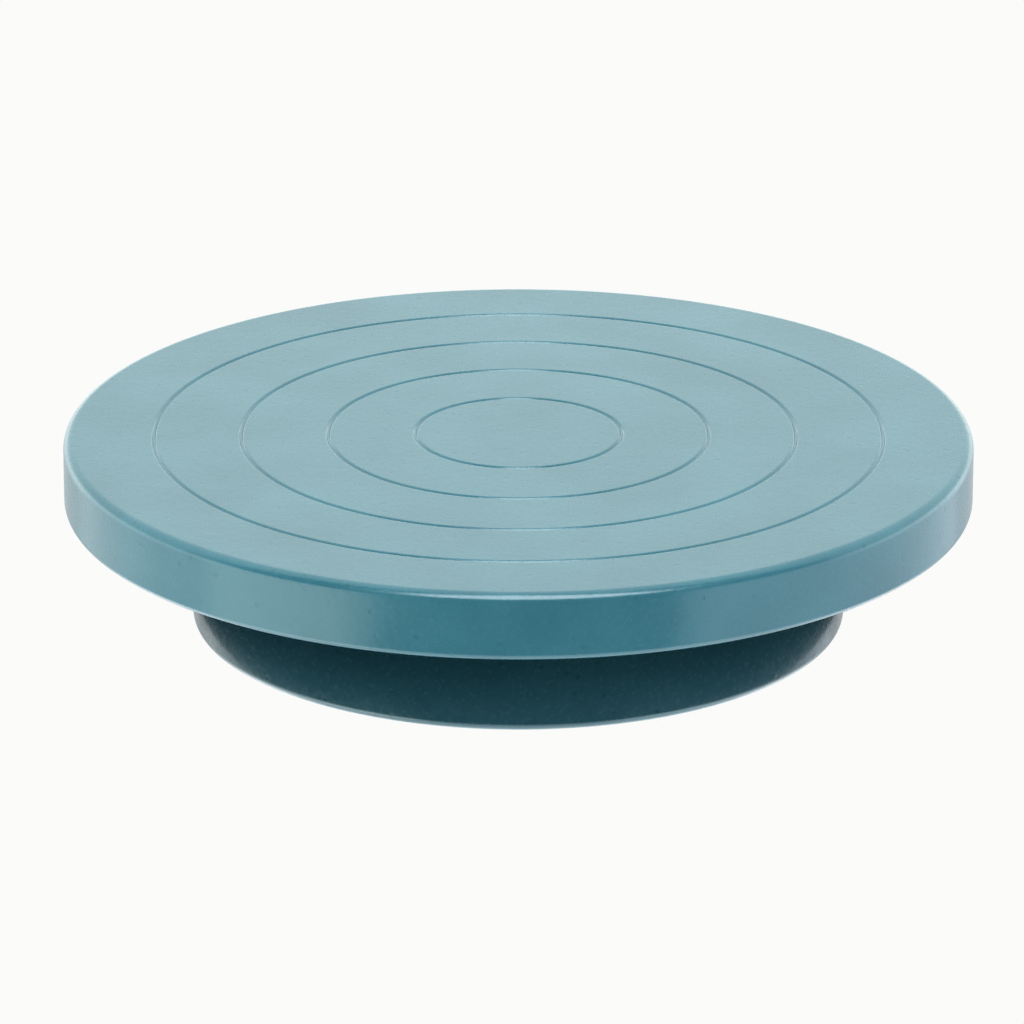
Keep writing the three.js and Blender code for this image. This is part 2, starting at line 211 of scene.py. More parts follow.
def add_node(tree, kind, *values, **named):
    """Adds a node with its settings and links.

    Plain values go to the node's open inputs in order. A name that starts with a capital is an input's,
    with an underscore for a space, and any other is a setting's. A node given as a value stands for its
    first open output.
    """
    node = tree.nodes.new(kind)
    for name, value in named.items():
        if name[0].islower():
            setattr(node, name, value)
    sockets = [socket for socket in node.inputs if socket.enabled]
    wanted = list(zip(sockets, values))
    for name, value in named.items():
        if name[0].isupper():
            wanted.append((next(s for s in sockets if s.name == name.replace("_", " ")), value))
    for socket, value in wanted:
        if isinstance(value, bpy.types.Node):
            value = next(output for output in value.outputs if output.enabled)
        if isinstance(value, bpy.types.NodeSocket):
            tree.links.new(value, socket)
        else:
            socket.default_value = value
    return node


def per_metre(millimetres):
    """The texture scale whose pattern repeats about every so many millimetres."""
    return 1 / (millimetres * MM)


def new_material(name):
    """An empty material, its node tree and the object coordinates that its patterns read."""
    material = bpy.data.materials.new(name)
    material.use_nodes = True
    tree = material.node_tree
    tree.nodes.clear()
    return material, tree, add_node(tree, "ShaderNodeTexCoord").outputs["Object"]


def toned(colour, factor):
    """A lighter or darker tone of a linear colour."""
    return [channel * factor for channel in colour[:3]] + [1.0]


# ------------------------------------------------------------------ materials

def end_material(tree, tones, pattern, gloss_range, relief, metallic=0.0, toning=None):
    """Ends a material whose gloss and relief follow a pattern, and its tone the same or another one.

    The gloss range is the pattern's least and most and the roughness at each. The relief is the bump's
    strength and depth.
    """
    strength, depth = relief
    tone = add_node(tree, "ShaderNodeMix", toning or pattern, *tones, data_type="RGBA")
    gloss = add_node(tree, "ShaderNodeMapRange", pattern, *gloss_range)
    bump = add_node(tree, "ShaderNodeBump", Strength=strength, Distance=depth, Height=pattern)
    shader = add_node(tree, "ShaderNodeBsdfPrincipled", Base_Color=tone, Metallic=metallic,
                      Roughness=gloss, Normal=bump)
    add_node(tree, "ShaderNodeOutputMaterial", shader)


def stove_enamel():
    """Hammered stove enamel, sprayed on a fettled iron casting.

    The eye sees a deep teal with a little pearl under a glossy skin. The skin has orange peel about a
    millimetre wide, shallow hammer dimples two or three millimetres across, and a few small dents. The
    tone varies at random and is darker in each dent, which is painted shade.
    """
    colours = settings().colours
    material, tree, place = new_material("stove_enamel")
    cloud = add_node(tree, "ShaderNodeTexNoise", Vector=place, Scale=per_metre(28), Detail=3.0)
    peel = add_node(tree, "ShaderNodeTexNoise", Vector=place, Scale=per_metre(1.3), Detail=2.0)
    dimples = add_node(tree, "ShaderNodeTexVoronoi", feature="SMOOTH_F1", Vector=place,
                       Scale=per_metre(2.6), Smoothness=0.6)
    dents = add_node(tree, "ShaderNodeTexVoronoi", Vector=place, Scale=per_metre(5))
    dimple = add_node(tree, "ShaderNodeMapRange", dimples, 0.1, 0.8, 0.0, 1.3,
                      interpolation_type="SMOOTHSTEP")
    ripple = add_node(tree, "ShaderNodeMapRange", peel, 0.3, 0.7, 0.0, 0.55,
                      interpolation_type="SMOOTHSTEP")
    dent = add_node(tree, "ShaderNodeMapRange", dents, 0.07, 0.15, -2.4, 0.0,
                    interpolation_type="SMOOTHSTEP")
    skin = add_node(tree, "ShaderNodeMath", dimple, ripple, operation="ADD")
    height = add_node(tree, "ShaderNodeMath", skin, dent, operation="ADD")
    bump = add_node(tree, "ShaderNodeBump", Strength=0.55, Distance=0.02 * MM, Height=height)
    # a random cloud of thicker, paler enamel, with the darker tone in each dent as painted shade
    thickness = add_node(tree, "ShaderNodeMapRange", cloud, 0.3, 0.7)
    tone_and_dent_shade = add_node(tree, "ShaderNodeMath", thickness, dent, operation="ADD", use_clamp=True)
    tone = add_node(tree, "ShaderNodeMix", tone_and_dent_shade, linear(colours.enamel), linear(colours.enamel_light),
                    data_type="RGBA")
    gloss = add_node(tree, "ShaderNodeMapRange", peel, 0.3, 0.7, 0.2, 0.3)
    shader = add_node(tree, "ShaderNodeBsdfPrincipled", Base_Color=tone, Metallic=0.1, Roughness=gloss,
                      IOR=1.5, Coat_Weight=0.4, Coat_Roughness=0.1, Normal=bump)
    add_node(tree, "ShaderNodeOutputMaterial", shader)
    return material


def turned_steel():
    """Mild steel turned on a lathe and left bare.

    The eye sees satin metal with fine rings. The rings are drawn 0.6 mm apart, coarser than real
    turning marks, so that they show.
    """
    material, tree, place = new_material("turned_steel")
    rings = add_node(tree, "ShaderNodeTexWave", wave_type="RINGS", rings_direction="Z", Vector=place,
                     Scale=per_metre(0.6) / WAVES_PER_SCALE, Distortion=0.4, Detail=2.0)
    marks = rings.outputs["Fac"]
    steel = linear(settings().colours.turned_steel)
    end_material(tree, (toned(steel, 0.8), steel), marks, (0.0, 1.0, 0.28, 0.4), (0.3, 0.01 * MM), 1.0)
    return material


def ground_bearing_steel():
    """Chromium bearing steel, hardened, ground and polished.

    The eye sees a bright mirror with a trace of smear from the oil that protects it.
    """
    material, tree, place = new_material("ground_bearing_steel")
    smear = add_node(tree, "ShaderNodeTexNoise", Vector=place, Scale=per_metre(4), Detail=3.0)
    steel = linear(settings().colours.ground_steel)
    tone = add_node(tree, "ShaderNodeMix", smear, toned(steel, 0.9), steel, data_type="RGBA")
    gloss = add_node(tree, "ShaderNodeMapRange", smear, 0.3, 0.7, 0.08, 0.2)
    shader = add_node(tree, "ShaderNodeBsdfPrincipled", Base_Color=tone, Metallic=1.0, Roughness=gloss)
    add_node(tree, "ShaderNodeOutputMaterial", shader)
    return material


def bright_zinc():
    """Steel with a bright zinc plate, as on bought-in screws and washers.

    The eye sees a bluish, slightly cloudy metal with faint crystals a millimetre or so wide.
    """
    material, tree, place = new_material("bright_zinc")
    crystals = add_node(tree, "ShaderNodeTexVoronoi", Vector=place, Scale=per_metre(1.2))
    cloud = add_node(tree, "ShaderNodeTexNoise", Vector=place, Scale=per_metre(6), Detail=4.0)
    pattern = add_node(tree, "ShaderNodeMix", 0.5, cloud, crystals)
    zinc = linear(settings().colours.zinc)
    end_material(tree, (toned(zinc, 0.82), zinc), pattern, (0.2, 0.6, 0.2, 0.36), (0.2, 0.01 * MM), 1.0)
    return material


def phosphated_spring_steel():
    """Spring steel, blanked, tempered and phosphated black.

    The eye sees a dark grey, dry metal with fine crystal grain.
    """
    material, tree, place = new_material("phosphated_spring_steel")
    grain = add_node(tree, "ShaderNodeTexNoise", Vector=place, Scale=per_metre(0.5), Detail=3.0)
    steel = linear(settings().colours.spring_steel)
    end_material(tree, (steel, toned(steel, 1.6)), grain, (0.3, 0.7, 0.4, 0.55), (0.3, 0.01 * MM), 1.0)
    return material


def moulded_rubber():
    """Black nitrile rubber, pressed in a blasted mould.

    The eye sees a dull black with a fine matt grain and a paler bloom in patches.
    """
    material, tree, place = new_material("moulded_rubber")
    grain = add_node(tree, "ShaderNodeTexNoise", Vector=place, Scale=per_metre(0.4), Detail=2.0)
    bloom = add_node(tree, "ShaderNodeTexNoise", Vector=place, Scale=per_metre(5), Detail=3.0)
    rubber = linear(settings().colours.rubber)
    end_material(tree, (rubber, toned(rubber, 1.8)), grain, (0.3, 0.7, 0.62, 0.8), (0.4, 0.02 * MM),
                 toning=bloom)
    return material


def filled_nylon():
    """Glass-filled nylon, injection moulded in its natural colour.

    The eye sees a warm off-white with a faint flow of short fibres.
    """
    material, tree, place = new_material("filled_nylon")
    flow = add_node(tree, "ShaderNodeTexNoise", Vector=place, Scale=per_metre(0.8), Detail=4.0,
                    Distortion=1.5)
    nylon = linear(settings().colours.nylon)
    end_material(tree, (toned(nylon, 0.85), nylon), flow, (0.3, 0.7, 0.45, 0.6), (0.3, 0.01 * MM))
    return material


MADE_MATERIALS = {}


def material_from(maker):
    """The material that a function makes, made once."""
    if maker not in MADE_MATERIALS:
        MADE_MATERIALS[maker] = maker()
    return MADE_MATERIALS[maker]


# ------------------------------------------------------------------ geometry node trees

def new_tree(name, inputs):
    """A geometry node tree with a mesh in and out and the named inputs, and its two end nodes."""
    tree = bpy.data.node_groups.new(name, "GeometryNodeTree")
    tree.interface.new_socket("Geometry", in_out="INPUT", socket_type="NodeSocketGeometry")
    tree.interface.new_socket("Geometry", in_out="OUTPUT", socket_type="NodeSocketGeometry")
    for label, socket_type in inputs:
        tree.interface.new_socket(label, in_out="INPUT", socket_type=socket_type)
    return tree, tree.nodes.new("NodeGroupInput"), tree.nodes.new("NodeGroupOutput")


def end_tree(tree, geometry, material, group_out):
    """Ends a tree as real geometry with its material."""
    real = add_node(tree, "GeometryNodeRealizeInstances", geometry)
    painted = add_node(tree, "GeometryNodeSetMaterial", real, Material=material)
    tree.links.new(painted.outputs["Geometry"], group_out.inputs["Geometry"])


def turned_solid_tree():
    """Turns an outline about Z, with straight ribs raised on it.

    The outline is a chain of vertices in the XZ plane. Its "rib level" attribute is the height that
    each point goes to where a rib crosses it, so a point that no rib touches has its own height there.
    """
    existing = bpy.data.node_groups.get("turned_solid")
    if existing:
        return existing
    tree, group_in, group_out = new_tree("turned_solid", [
        ("Facets", "NodeSocketInt"), ("Rib count", "NodeSocketInt"), ("Rib thickness", "NodeSocketFloat"),
        ("Rib fillet", "NodeSocketFloat"), ("First rib", "NodeSocketFloat"),
        ("Material", "NodeSocketMaterial")])
    value = group_in.outputs
    outline, facets, ribs = value["Geometry"], value["Facets"], value["Rib count"]

    # a grid with a row for each point of the outline and a column for each facet, and one more to close it
    size = add_node(tree, "GeometryNodeAttributeDomainSize", outline)
    columns = add_node(tree, "ShaderNodeMath", facets, 1, operation="ADD")
    grid = add_node(tree, "GeometryNodeMeshGrid", Vertices_X=size, Vertices_Y=columns)
    index = add_node(tree, "GeometryNodeInputIndex")
    middle = add_node(tree, "ShaderNodeMath", index, 0.5, operation="ADD")
    share = add_node(tree, "ShaderNodeMath", middle, columns, operation="DIVIDE")
    row = add_node(tree, "ShaderNodeMath", share, operation="FLOOR")
    rows_before = add_node(tree, "ShaderNodeMath", row, columns, operation="MULTIPLY")
    column = add_node(tree, "ShaderNodeMath", index, rows_before, operation="SUBTRACT")

    # the outline's point and its height on a rib, and the turn about the axis
    position = add_node(tree, "GeometryNodeInputPosition")
    point = add_node(tree, "GeometryNodeSampleIndex", outline, position, row, data_type="FLOAT_VECTOR")
    level_name = add_node(tree, "GeometryNodeInputNamedAttribute", "rib level", data_type="FLOAT")
    level = add_node(tree, "GeometryNodeSampleIndex", outline, level_name, row, data_type="FLOAT")
    place = add_node(tree, "ShaderNodeSeparateXYZ", point)
    radius, height = place.outputs["X"], place.outputs["Z"]
    turn_share = add_node(tree, "ShaderNodeMath", column, facets, operation="DIVIDE")
    angle = add_node(tree, "ShaderNodeMath", turn_share, FULL_TURN, operation="MULTIPLY")

    # how far to the side of the nearest rib's middle the point is
    from_first = add_node(tree, "ShaderNodeMath", angle, value["First rib"], operation="SUBTRACT")
    spaced = add_node(tree, "ShaderNodeMath", from_first, ribs, operation="MULTIPLY")
    pitches = add_node(tree, "ShaderNodeMath", spaced, FULL_TURN, operation="DIVIDE")
    nearest = add_node(tree, "ShaderNodeMath", pitches, operation="ROUND")
    off_pitch = add_node(tree, "ShaderNodeMath", pitches, nearest, operation="SUBTRACT")
    off_turns = add_node(tree, "ShaderNodeMath", off_pitch, FULL_TURN, operation="MULTIPLY")
    some_ribs = add_node(tree, "ShaderNodeMath", ribs, 1, operation="MAXIMUM")
    off_angle = add_node(tree, "ShaderNodeMath", off_turns, some_ribs, operation="DIVIDE")
    sine = add_node(tree, "ShaderNodeMath", off_angle, operation="SINE")
    sideways = add_node(tree, "ShaderNodeMath", sine, radius, operation="MULTIPLY")
    distance = add_node(tree, "ShaderNodeMath", sideways, operation="ABSOLUTE")

    # full height on the rib, none beside it, and a smooth flank between
    half = add_node(tree, "ShaderNodeMath", value["Rib thickness"], 0.5, operation="MULTIPLY")
    soft = add_node(tree, "ShaderNodeMath", value["Rib fillet"], 0.5, operation="MULTIPLY")
    inside = add_node(tree, "ShaderNodeMath", half, soft, operation="SUBTRACT")
    outside = add_node(tree, "ShaderNodeMath", half, soft, operation="ADD")
    has_ribs = add_node(tree, "ShaderNodeMath", ribs, 1, operation="MINIMUM")
    amount = add_node(tree, "ShaderNodeMapRange", distance, inside, outside, has_ribs, 0.0,
                      interpolation_type="SMOOTHSTEP")
    rise = add_node(tree, "ShaderNodeMath", level, height, operation="SUBTRACT")
    new_height = add_node(tree, "ShaderNodeMath", rise, amount, height, operation="MULTIPLY_ADD")

    cosine_of_turn = add_node(tree, "ShaderNodeMath", angle, operation="COSINE")
    sine_of_turn = add_node(tree, "ShaderNodeMath", angle, operation="SINE")
    across = add_node(tree, "ShaderNodeMath", radius, cosine_of_turn, operation="MULTIPLY")
    along = add_node(tree, "ShaderNodeMath", radius, sine_of_turn, operation="MULTIPLY")
    where = add_node(tree, "ShaderNodeCombineXYZ", across, along, new_height)
    wrapped = add_node(tree, "GeometryNodeSetPosition", grid, Position=where)
    closed = add_node(tree, "GeometryNodeMergeByDistance", wrapped, Distance=MERGE_DISTANCE)
    end_tree(tree, add_node(tree, "GeometryNodeFlipFaces", closed), value["Material"], group_out)
    return tree


def ring_of_copies_tree():
    """Copies a piece round the turning axis. The piece stands where the first copy goes."""
    existing = bpy.data.node_groups.get("ring_of_copies")
    if existing:
        return existing
    tree, group_in, group_out = new_tree("ring_of_copies", [
        ("Count", "NodeSocketInt"), ("Material", "NodeSocketMaterial")])
    value = group_in.outputs
    points = add_node(tree, "GeometryNodePoints", Count=value["Count"])
    index = add_node(tree, "GeometryNodeInputIndex")
    turns = add_node(tree, "ShaderNodeMath", index, FULL_TURN, operation="MULTIPLY")
    angle = add_node(tree, "ShaderNodeMath", turns, value["Count"], operation="DIVIDE")
    turned = add_node(tree, "ShaderNodeCombineXYZ", Z=angle)
    copies = add_node(tree, "GeometryNodeInstanceOnPoints", points, Instance=value["Geometry"],
                      Rotation=turned)
    end_tree(tree, copies, value["Material"], group_out)
    return tree


def add_object(name, data):
    """A new object in the scene."""
    added = bpy.data.objects.new(name, data)
    bpy.context.scene.collection.objects.link(added)
    return added


def applied_mesh(piece, name):
    """A new mesh of the piece with its modifiers applied."""
    evaluated = piece.evaluated_get(bpy.context.evaluated_depsgraph_get())
    mesh = bpy.data.meshes.new_from_object(evaluated)
    mesh.name = name
    return mesh


def run_tree(mesh, name, tree, values):
    """Runs a tree on a mesh and gives its result as a plain mesh object with nothing live on it."""
    source = add_object(name + "_source", mesh)
    modifier = source.modifiers.new("tree", "NODES")
    modifier.node_group = tree
    sockets = {item.name: item.identifier for item in tree.interface.items_tree if item.in_out == "INPUT"}
    for label, value in values.items():
        modifier[sockets[label]] = value
    result = applied_mesh(source, name)
    bpy.data.objects.remove(source)
    bpy.data.meshes.remove(mesh)
    return add_object(name, result)


# ------------------------------------------------------------------ outlines

def arc(centre_radius, centre_height, radius, start, end, steps):
    """Points of an arc in (radius, height), from one angle to the other, in degrees."""
    angles = [math.radians(start + (end - start) * i / steps) for i in range(steps + 1)]
    return [(centre_radius + radius * math.cos(a), centre_height + radius * math.sin(a)) for a in angles]


def straight(start, end, spacing):
    """Points between two others, no further apart than the spacing, without the two ends."""
    length = math.dist(start, end)
    count = max(1, math.ceil(length / spacing))
    return [tuple(a + (b - a) * i / count for a, b in zip(start, end)) for i in range(1, count)]


def rounded_ring(inner, outer, bottom, top, edge, steps=4):
    """The closed outline of a flat ring with all four edges rounded."""
    points = [
        *arc(inner + edge, bottom + edge, edge, 180, 270, steps),
        *arc(outer - edge, bottom + edge, edge, -90, 0, steps),
        *arc(outer - edge, top - edge, edge, 0, 90, steps),
        *arc(inner + edge, top - edge, edge, 90, 180, steps),
    ]
    return points + points[:1]


def rounded_disc(radius, bottom, top, edge, steps=4):
    """The outline of a solid disc with its two edges rounded."""
    return [(0, bottom), *arc(radius - edge, bottom + edge, edge, -90, 0, steps),
            *arc(radius - edge, top - edge, edge, 0, 90, steps), (0, top)]


def cylinder(radius, bottom, top):
    """The outline of a plain solid cylinder."""
    return [(0, bottom), (radius, bottom), (radius, top), (0, top)]


def sphere(radius, middle, steps):
    """The outline of a ball on the axis, its two poles exactly on it."""
    points = arc(0, middle, radius, -90, 90, steps)
    return [(0, points[0][1]), *points[1:-1], (0, points[-1][1])]


def groove_points(middle, width, depth, top, steps=10):
    """A groove's round-lipped section, from its outer lip inwards."""
    shares = [1 - 2 * i / steps for i in range(steps + 1)]
    return [(middle + share * width / 2, top - depth * (1 + math.cos(math.pi * share)) / 2)
            for share in shares]


def outline_mesh(points, rib_line=None):
    """The outline as a chain of vertices in the XZ plane, with the height that a rib gives each point."""
    mesh = bpy.data.meshes.new("outline")
    edges = [(i, i + 1) for i in range(len(points) - 1)]
    mesh.from_pydata([(radius, 0, height) for radius, height in points], edges, [])
    levels = mesh.attributes.new("rib level", "FLOAT", "POINT")
    for i, (radius, height) in enumerate(points):
        levels.data[i].value = rib_line(radius, height) if rib_line else height
    return mesh


def held_flat(points, margin=0.2 * MM):
    """The outline with a point close to each end of a long stretch, so that shading stays flat along it."""
    held = []
    for start, end in zip(points, points[1:]):
        length = math.dist(start, end)
        shares = (0, margin / length, 1 - margin / length) if length > 5 * margin else (0,)
        held += [tuple(a + (b - a) * share for a, b in zip(start, end)) for share in shares]
    return held + points[-1:]


def turn(name, points, facets, material, rib_line=None, ribs=0, thickness=0.0, fillet=0.0, first=0.0):
    """A turned piece, smooth but for its real corners."""
    points = held_flat(points)
    values = {"Facets": facets, "Rib count": ribs, "Rib thickness": thickness, "Rib fillet": fillet,
              "First rib": first, "Material": material}
    piece = run_tree(outline_mesh(points, rib_line), name, turned_solid_tree(), values)
    smooth(piece)
    return piece


def smooth(piece, corner=math.radians(38)):
    """Smooth shading, with an edge kept sharp where two faces meet at more than the corner's angle."""
    piece.data.shade_smooth()
    piece.data.set_sharp_from_angle(angle=corner)


# ------------------------------------------------------------------ joining and cutting

def combine(piece, other, operation):
    """Joins another solid to a piece or cuts it away, and removes the other."""
    modifier = piece.modifiers.new("combine", "BOOLEAN")
    modifier.operation = operation
    modifier.solver = "EXACT"
    modifier.object = other
    result = applied_mesh(piece, piece.name)
    piece.modifiers.remove(modifier)
    old = piece.data
    piece.data = result
    bpy.data.meshes.remove(old)
    bpy.data.objects.remove(other)
    smooth(piece)


def moved(piece, distance, angle):
    """Moves a piece that was made on the turning axis out to its own place, in its mesh."""
    piece.data.transform(Matrix.Rotation(angle, 4, "Z") @ Matrix.Translation((distance, 0, 0)))
    return piece


def ring_of(piece, count, material):
    """Copies of a piece round the turning axis, as one mesh in its place."""
    name = piece.name
    mesh = piece.data
    bpy.data.objects.remove(piece)
    mesh.name = name + "_first"
    copies = run_tree(mesh, name, ring_of_copies_tree(), {"Count": count, "Material": material})
    smooth(copies)
    return copies


def ring_at(nodes, piece, material):
    """Copies of a piece that was made on the turning axis, one at each of the nodes round it."""
    distance, angle = place_round_axis(nodes[0])
    return ring_of(moved(piece, distance, angle), len(nodes), material)


def stand_for(piece, body, slot, *nodes):
    """The piece moves with a body and stands for CAD nodes, which it hides. The slot is not used."""
    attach(piece, body)
    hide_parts(*nodes)


# ------------------------------------------------------------------ the two castings

CAST_FILLET = 2.5 * MM
CAST_CORNER = 0.8 * MM
SPIGOT_RADIUS = 12 * MM
SPIGOT_HEIGHT = 3 * MM
SPIGOT_GAP = 0.05 * MM
DRAFT = 1 * MM
RIB_FILLET = 2.2 * MM
HEAD_RIB_AT_BOSS = 0.5 * MM
HEAD_RIB_AT_RIM = 6.5 * MM
BASE_RIB_AT_HUB = 1 * MM
BASE_RIB_AT_SKIRT = 12 * MM
FOOT_GAP = 0.15 * MM
WEB_SPACING = 2 * MM
WALL_SPACING = 1 * MM

# how many facets a turned piece has round it
HEAD_FACETS = 400
BASE_FACETS = 384
PLATE_FACETS = 192
RING_FACETS = 160
CLIP_FACETS = 128
MEDIUM_FACETS = 64
SMALL_FACETS = 48
POCKET_FACETS = 40
HOLE_FACETS = 32
HEXAGON = 6


def flange_top():
    return top_of("spindle") - SPIGOT_HEIGHT


def rib_between(near, far, web_bottom):
    """The lower edge of a rib from one (radius, height) to another, under a web."""
    def rib_line(radius, height):
        under_web = near[0] - MERGE_DISTANCE <= radius <= far[0] + MERGE_DISTANCE
        if not under_web or height > web_bottom + MERGE_DISTANCE:
            return height
        share = (radius - near[0]) / (far[0] - near[0])
        return min(height, near[1] + (far[1] - near[1]) * share)
    return rib_line


def head_outline(sizes):
    """The head's section: bore, boss, web, rim and the grooved top."""
    radius, top, bottom = outer_radius("wheel_head"), top_of("wheel_head"), bottom_of("wheel_head")
    web_bottom = top - sizes.web
    bore = SPIGOT_RADIUS + SPIGOT_GAP
    bore_top = top_of("spindle") + SPIGOT_GAP
    boss_bottom = flange_top()
    rim_low = radius - sizes.wall
    rim_high = rim_low - DRAFT
    boss = sizes.boss_radius
    underside = [
        (0, bore_top), (bore, bore_top), (bore, boss_bottom),
        *arc(boss - CAST_CORNER, boss_bottom + CAST_CORNER, CAST_CORNER, -90, 0, 4),
        *straight((boss, boss_bottom + CAST_CORNER), (boss, web_bottom - CAST_FILLET), WALL_SPACING),
        *arc(boss + CAST_FILLET, web_bottom - CAST_FILLET, CAST_FILLET, 180, 90, 6),
        *straight((boss + CAST_FILLET, web_bottom), (rim_high - CAST_FILLET, web_bottom), WEB_SPACING),
        *arc(rim_high - CAST_FILLET, web_bottom - CAST_FILLET, CAST_FILLET, 90, 0, 6),
        *straight((rim_high, web_bottom - CAST_FILLET), (rim_low, bottom + CAST_CORNER), WALL_SPACING),
        *arc(rim_low + CAST_CORNER, bottom + CAST_CORNER, CAST_CORNER, 180, 270, 4),
    ]
    outside = [
        *arc(radius - sizes.low_edge, bottom + sizes.low_edge, sizes.low_edge, -90, 0, 10),
        *arc(radius - sizes.top_edge, top - sizes.top_edge, sizes.top_edge, 0, 90, 10),
    ]
    face = []
    for i in reversed(range(sizes.groove_count)):
        middle = sizes.first_groove + i * sizes.groove_pitch
        face += groove_points(middle, sizes.groove_width, sizes.groove_depth, top)
    return underside + outside + face + [(0, top)]


def cast_head():
    """The turning head, one iron casting."""
    sizes = settings().head
    outline = head_outline(sizes)
    web_bottom = top_of("wheel_head") - sizes.web
    near = (sizes.boss_radius, flange_top() + HEAD_RIB_AT_BOSS)
    far = (outer_radius("wheel_head") - sizes.wall, web_bottom - HEAD_RIB_AT_RIM)
    rib_line = rib_between(near, far, web_bottom)
    piece = turn("cast_head", outline, HEAD_FACETS, material_from(stove_enamel), rib_line,
                 sizes.ribs, sizes.rib_thickness, RIB_FILLET, math.pi / max(1, sizes.ribs))
    stand_for(piece, "wheel", "hammered_enamel", "wheel_head")


def base_outline(sizes):
    """The base's section: bearing seat, hub, web and skirt."""
    radius, top, bottom = outer_radius("base"), top_of("base"), bottom_of("base")
    seat = outer_radius("bearing_outer_ring") + SPIGOT_GAP
    seat_bottom, seat_top = bottom_of("bearing_outer_ring"), top_of("bearing_outer_ring")
    hub, web_bottom = sizes.hub_radius, top - sizes.web
    skirt_low = radius - sizes.wall
    skirt_high = skirt_low - DRAFT
    underside = [
        *arc(hub - CAST_CORNER, seat_bottom + CAST_CORNER, CAST_CORNER, -90, 0, 4),
        *straight((hub, seat_bottom + CAST_CORNER), (hub, web_bottom - CAST_FILLET), WALL_SPACING),
        *arc(hub + CAST_FILLET, web_bottom - CAST_FILLET, CAST_FILLET, 180, 90, 6),
        *straight((hub + CAST_FILLET, web_bottom), (skirt_high - CAST_FILLET, web_bottom), WEB_SPACING),
        *arc(skirt_high - CAST_FILLET, web_bottom - CAST_FILLET, CAST_FILLET, 90, 0, 6),
        *straight((skirt_high, web_bottom - CAST_FILLET), (skirt_low, bottom + CAST_CORNER), WALL_SPACING),
        *arc(skirt_low + CAST_CORNER, bottom + CAST_CORNER, CAST_CORNER, 180, 270, 4),
    ]
    rest = [
        *arc(radius - sizes.edge, bottom + sizes.edge, sizes.edge, -90, 0, 10),
        *arc(radius - sizes.edge, top - sizes.edge, sizes.edge, 0, 90, 10),
        (sizes.shoulder_radius, top), (sizes.shoulder_radius, seat_top), (seat, seat_top),
        (seat, seat_bottom),
    ]
    return [(seat, seat_bottom), *underside, *rest]


def foot_posts(sizes, enamel):
    """The posts that hold the feet, from the bottom of the skirt up into the web."""
    bottom = bottom_of("base")
    radius, height = sizes.foot_boss_radius, top_of("base") - sizes.web + MM
    post = [(0, bottom), *arc(radius - CAST_CORNER, bottom + CAST_CORNER, CAST_CORNER, -90, 0, 4),
            (radius, height), (0, height)]
    return ring_at(FOOT_NODES, turn("foot_posts", post, SMALL_FACETS, enamel), enamel)


def foot_pockets(enamel):
    """The round pockets that the feet are pressed into."""
    low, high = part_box(FOOT_NODES[0])
    pocket = cylinder((high.x - low.x) / 2 + FOOT_GAP, low.z - MM, high.z)
    return ring_at(FOOT_NODES, turn("foot_pockets", pocket, SMALL_FACETS, enamel), enamel)


def cast_base():
    """The base, one iron casting with a bearing seat, ribs and posts for its feet."""
    sizes = settings().base
    enamel = material_from(stove_enamel)
    outline = base_outline(sizes)
    near = (sizes.hub_radius, bottom_of("bearing_outer_ring") + BASE_RIB_AT_HUB)
    far = (outer_radius("base") - sizes.wall, BASE_RIB_AT_SKIRT)
    rib_line = rib_between(near, far, top_of("base") - sizes.web)
    piece = turn("cast_base", outline, BASE_FACETS, enamel, rib_line, len(FOOT_NODES),
                 sizes.rib_thickness, RIB_FILLET, place_round_axis(FOOT_NODES[0])[1])
    combine(piece, foot_posts(sizes, enamel), "UNION")
    combine(piece, foot_pockets(enamel), "DIFFERENCE")
    stand_for(piece, "base", "hammered_enamel", "base")


# ------------------------------------------------------------------ feet, plate and screws

def rubber_feet():
    """Pressed rubber feet, with a shallow dish underneath."""
    rubber = material_from(moulded_rubber)
    low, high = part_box(FOOT_NODES[0])
    radius, edge = (high.x - low.x) / 2, 0.5 * MM
    dish_radius, dish_depth = radius * 0.55, 0.35 * MM
    bend_radius, bend_depth = dish_radius * 0.8, dish_depth * 0.85
    foot = [(0, dish_depth), (bend_radius, bend_depth), (dish_radius, 0),
            *arc(radius - edge, edge, edge, -90, 0, 6), *arc(radius - edge, high.z - edge, edge, 0, 90, 6),
            (0, high.z)]
    feet = ring_at(FOOT_NODES, turn("rubber_feet", foot, MEDIUM_FACETS, rubber), rubber)
    stand_for(feet, "base", "black_rubber", *FOOT_NODES)


def screw(name, outline, socket_radius, socket_depth, bottom, material):
    """A socket screw that points up, with its hexagon recess cut in the head."""
    body = turn(name, outline, MEDIUM_FACETS, material)
    flat = bottom + socket_depth
    drill_point = flat + socket_radius * 0.4
    recess = [(0, bottom - MM), (socket_radius, bottom - MM), (socket_radius, flat), (0, drill_point)]
    combine(body, turn("socket", recess, HEXAGON, material), "DIFFERENCE")
    return body


def screw_ring(name, nodes, outline, socket_radius, socket_depth, body_name):
    """A ring of like screws that stands for its CAD nodes."""
    zinc = material_from(bright_zinc)
    one = screw(name, outline, socket_radius, socket_depth, bottom_of(nodes[0]), zinc)
    stand_for(ring_at(nodes, one, zinc), body_name, "zinc_plated_steel", *nodes)


def head_radius(node):
    """A screw head's radius, from its width along Y."""
    low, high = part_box(node)
    return (high.y - low.y) / 2


